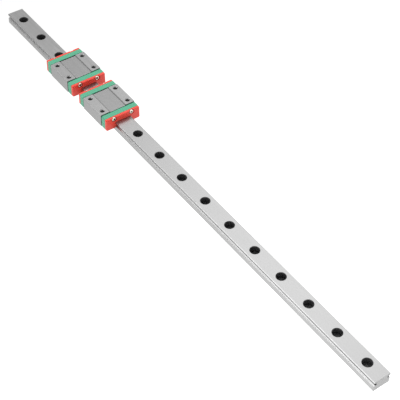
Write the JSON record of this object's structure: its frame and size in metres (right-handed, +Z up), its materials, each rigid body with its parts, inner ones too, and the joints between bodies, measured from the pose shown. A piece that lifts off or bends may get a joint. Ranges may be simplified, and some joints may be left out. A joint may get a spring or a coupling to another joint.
{
  "type": "linear guide with two carriages",
  "caption": "Profiled steel guide rail with counterbored mounting holes and sliding recirculating-ball carriages with moulded end caps and end seals.",
  "frame": {"origin": "centre of the rail's bottom face, at the middle of its length and width", "axes": "+X along the rail, from the end near the two carriages towards the far free end; +Y across the rail; +Z up, out of the counterbored top face"},
  "size_m": [0.4, 0.027, 0.013],
  "materials": {
    "rail_steel": "fine ground along the rail, black inside the mounting holes",
    "block_steel": "fine ground satin",
    "cap_green": "moulded satin",
    "seal_red": "moulded satin elastomer",
    "screw_plated": "yellow zinc plated",
    "guide_plastic": "moulded",
    "bearing_steel": "polished"
  },
  "bodies": {
    "rail": {"rail": "rail_steel"},
    "rear_carriage": {"rear_block": "block_steel", "rear_end_cap_a": "cap_green", "rear_end_seal_a": "seal_red", "rear_cap_screw_a_l": "screw_plated", "rear_ball_guide_a_l": "guide_plastic", "rear_cap_screw_a_r": "screw_plated", "rear_ball_guide_a_r": "guide_plastic", "rear_end_cap_b": "cap_green", "rear_end_seal_b": "seal_red", "rear_cap_screw_b_l": "screw_plated", "rear_ball_guide_b_l": "guide_plastic", "rear_cap_screw_b_r": "screw_plated", "rear_ball_guide_b_r": "guide_plastic", "rear_ball_circuit_l": "bearing_steel", "rear_ball_wire_l": "bearing_steel", "rear_ball_circuit_r": "bearing_steel", "rear_ball_wire_r": "bearing_steel"},
    "front_carriage": {"front_block": "block_steel", "front_end_cap_a": "cap_green", "front_end_seal_a": "seal_red", "front_cap_screw_a_l": "screw_plated", "front_ball_guide_a_l": "guide_plastic", "front_cap_screw_a_r": "screw_plated", "front_ball_guide_a_r": "guide_plastic", "front_end_cap_b": "cap_green", "front_end_seal_b": "seal_red", "front_cap_screw_b_l": "screw_plated", "front_ball_guide_b_l": "guide_plastic", "front_cap_screw_b_r": "screw_plated", "front_ball_guide_b_r": "guide_plastic", "front_ball_circuit_l": "bearing_steel", "front_ball_wire_l": "bearing_steel", "front_ball_circuit_r": "bearing_steel", "front_ball_wire_r": "bearing_steel"}
  },
  "joints": [
    {"name": "rear_carriage_slide", "type": "slide", "parent": "rail", "child": "rear_carriage", "axis": [1, 0, 0], "range_m": [-0.067, 0.0038]},
    {"name": "front_carriage_slide", "type": "slide", "parent": "rail", "child": "front_carriage", "axis": [1, 0, 0], "range_m": [-0.0038, 0.255]}
  ]
}
